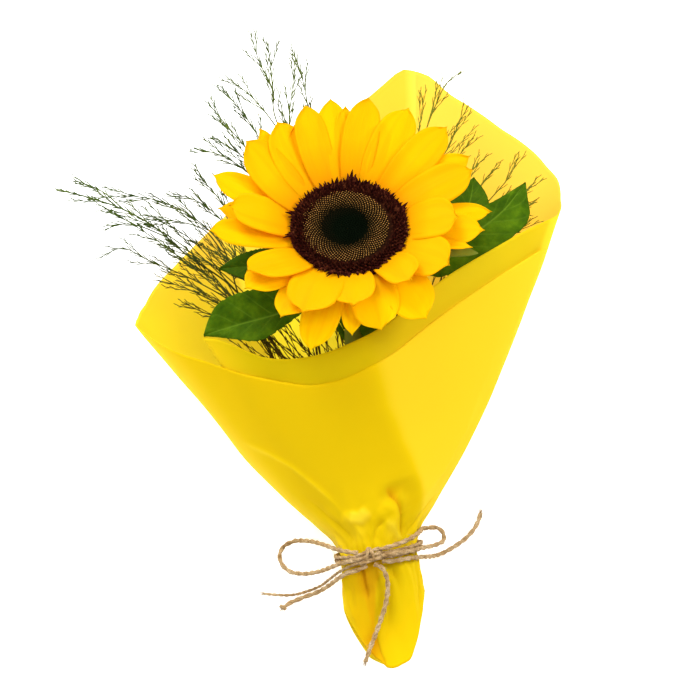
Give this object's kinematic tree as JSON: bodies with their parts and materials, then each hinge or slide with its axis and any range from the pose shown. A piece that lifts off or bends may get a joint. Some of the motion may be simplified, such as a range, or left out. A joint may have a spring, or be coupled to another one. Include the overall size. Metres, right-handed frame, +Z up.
{
  "type": "sunflower in a tied paper cone",
  "caption": "Cut sunflower lying down with serrated leaves and feathery green sprays, rolled in a yellow paper cone whose neck is tied with jute twine in a bow.",
  "frame": {"origin": "on the surface that the bunch lies on, under the flat strip of the paper's back, below the stem", "axes": "+Y from the tied end towards the flower, +X to the right as the flower is looked at, +Z up"},
  "size_m": [0.2571, 0.3427, 0.106],
  "materials": {
    "paper": "matt yellow wrapping paper",
    "twine": "rough jute twine",
    "petal": "matt petal",
    "disc": "rough florets",
    "stem": "matt green stem",
    "leaf": "satin leaf",
    "spray": "matt green twigs"
  },
  "bodies": {
    "root": {"paper_wrap": "paper", "twine_band": "twine", "twine_loop_left": "twine", "twine_loop_right": "twine", "twine_end_left": "twine", "twine_end_left_thin": "twine", "twine_end_right": "twine", "twine_end_down": "twine", "sunflower_petals": "petal", "sunflower_disc": "disc", "sunflower_stem": "stem", "leaf_left": "leaf", "leaf_left_back": "leaf", "leaf_right": "leaf", "leaf_right_back": "leaf", "leaf_front": "leaf", "spray_left_low": "spray", "spray_left_long": "spray", "spray_upper_left": "spray", "spray_top": "spray", "spray_upper_right": "spray", "spray_right": "spray"}
  },
  "joints": []
}
